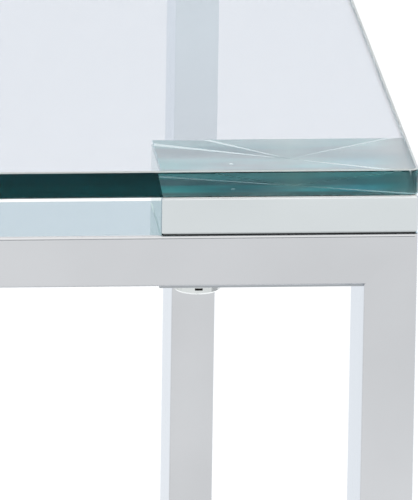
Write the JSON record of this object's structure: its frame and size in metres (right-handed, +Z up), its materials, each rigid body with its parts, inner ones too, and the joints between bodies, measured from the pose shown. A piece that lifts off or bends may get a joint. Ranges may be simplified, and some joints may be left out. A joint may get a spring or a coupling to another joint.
{
  "type": "console table",
  "caption": "Long narrow console table: a clear glass top on steel corner blocks over a frame of flat polished tube with screw feet.",
  "frame": {"origin": "centre of the footprint on the floor, at the underside of the foot pads", "axes": "+Z up; the long front faces -Y; +X towards the right end as seen from the front"},
  "size_m": [1, 0.45, 0.75],
  "materials": {
    "glass": "clear toughened float glass with a green edge",
    "polished_steel": "mirror-polished stainless steel with fine polishing lines",
    "polished_block": "mirror-polished solid steel",
    "plate_steel": "plain rolled steel",
    "screw_steel": "bright turned steel",
    "rubber": "matt black",
    "clear_adhesive": "clear cured adhesive",
    "black_plastic": "fine moulded texture"
  },
  "bodies": {
    "frame": {"glass_top": "glass", "front_rail": "polished_steel", "rear_rail": "polished_steel", "side_rail_right": "polished_steel", "side_rail_left": "polished_steel", "leg_front_right": "polished_steel", "leg_front_left": "polished_steel", "leg_rear_right": "polished_steel", "leg_rear_left": "polished_steel", "corner_block_front_right": "polished_block", "block_gasket_front_right": "rubber", "bond_film_front_right": "clear_adhesive", "load_plate_front_right": "plate_steel", "clamp_screw_front_right": "screw_steel", "rail_sleeve_front_right": "screw_steel", "locating_pin_front_right": "screw_steel", "leg_plug_front_right": "black_plastic", "corner_block_front_left": "polished_block", "block_gasket_front_left": "rubber", "bond_film_front_left": "clear_adhesive", "load_plate_front_left": "plate_steel", "clamp_screw_front_left": "screw_steel", "rail_sleeve_front_left": "screw_steel", "locating_pin_front_left": "screw_steel", "leg_plug_front_left": "black_plastic", "corner_block_rear_right": "polished_block", "block_gasket_rear_right": "rubber", "bond_film_rear_right": "clear_adhesive", "load_plate_rear_right": "plate_steel", "clamp_screw_rear_right": "screw_steel", "rail_sleeve_rear_right": "screw_steel", "locating_pin_rear_right": "screw_steel", "leg_plug_rear_right": "black_plastic", "corner_block_rear_left": "polished_block", "block_gasket_rear_left": "rubber", "bond_film_rear_left": "clear_adhesive", "load_plate_rear_left": "plate_steel", "clamp_screw_rear_left": "screw_steel", "rail_sleeve_rear_left": "screw_steel", "locating_pin_rear_left": "screw_steel", "leg_plug_rear_left": "black_plastic"},
    "pad_front_right": {"foot_pad_front_right": "black_plastic"},
    "screw_front_right": {"foot_screw_front_right": "screw_steel"},
    "pad_front_left": {"foot_pad_front_left": "black_plastic"},
    "screw_front_left": {"foot_screw_front_left": "screw_steel"},
    "pad_rear_right": {"foot_pad_rear_right": "black_plastic"},
    "screw_rear_right": {"foot_screw_rear_right": "screw_steel"},
    "pad_rear_left": {"foot_pad_rear_left": "black_plastic"},
    "screw_rear_left": {"foot_screw_rear_left": "screw_steel"}
  },
  "joints": [
    {"name": "foot_travel_front_right", "type": "slide", "parent": "frame", "child": "pad_front_right", "axis": [0, 0, -1], "range_m": [0, 0.006]},
    {"name": "foot_turn_front_right", "type": "hinge", "parent": "pad_front_right", "child": "screw_front_right", "pos_m": [0.495, -0.2125, 0.004], "axis": [0, 0, -1], "range_deg": [0, 2700.01]},
    {"name": "foot_travel_front_left", "type": "slide", "parent": "frame", "child": "pad_front_left", "axis": [0, 0, -1], "range_m": [0, 0.006]},
    {"name": "foot_turn_front_left", "type": "hinge", "parent": "pad_front_left", "child": "screw_front_left", "pos_m": [-0.495, -0.2125, 0.004], "axis": [0, 0, -1], "range_deg": [0, 2700.01]},
    {"name": "foot_travel_rear_right", "type": "slide", "parent": "frame", "child": "pad_rear_right", "axis": [0, 0, -1], "range_m": [0, 0.006]},
    {"name": "foot_turn_rear_right", "type": "hinge", "parent": "pad_rear_right", "child": "screw_rear_right", "pos_m": [0.495, 0.2125, 0.004], "axis": [0, 0, -1], "range_deg": [0, 2700.01]},
    {"name": "foot_travel_rear_left", "type": "slide", "parent": "frame", "child": "pad_rear_left", "axis": [0, 0, -1], "range_m": [0, 0.006]},
    {"name": "foot_turn_rear_left", "type": "hinge", "parent": "pad_rear_left", "child": "screw_rear_left", "pos_m": [-0.495, 0.2125, 0.004], "axis": [0, 0, -1], "range_deg": [0, 2700.01]}
  ],
  "couplings": [
    {"joint": "foot_turn_front_right", "follows": "foot_travel_front_right", "rad_per_m": 7854},
    {"joint": "foot_turn_front_left", "follows": "foot_travel_front_left", "rad_per_m": 7854},
    {"joint": "foot_turn_rear_right", "follows": "foot_travel_rear_right", "rad_per_m": 7854},
    {"joint": "foot_turn_rear_left", "follows": "foot_travel_rear_left", "rad_per_m": 7854}
  ]
}
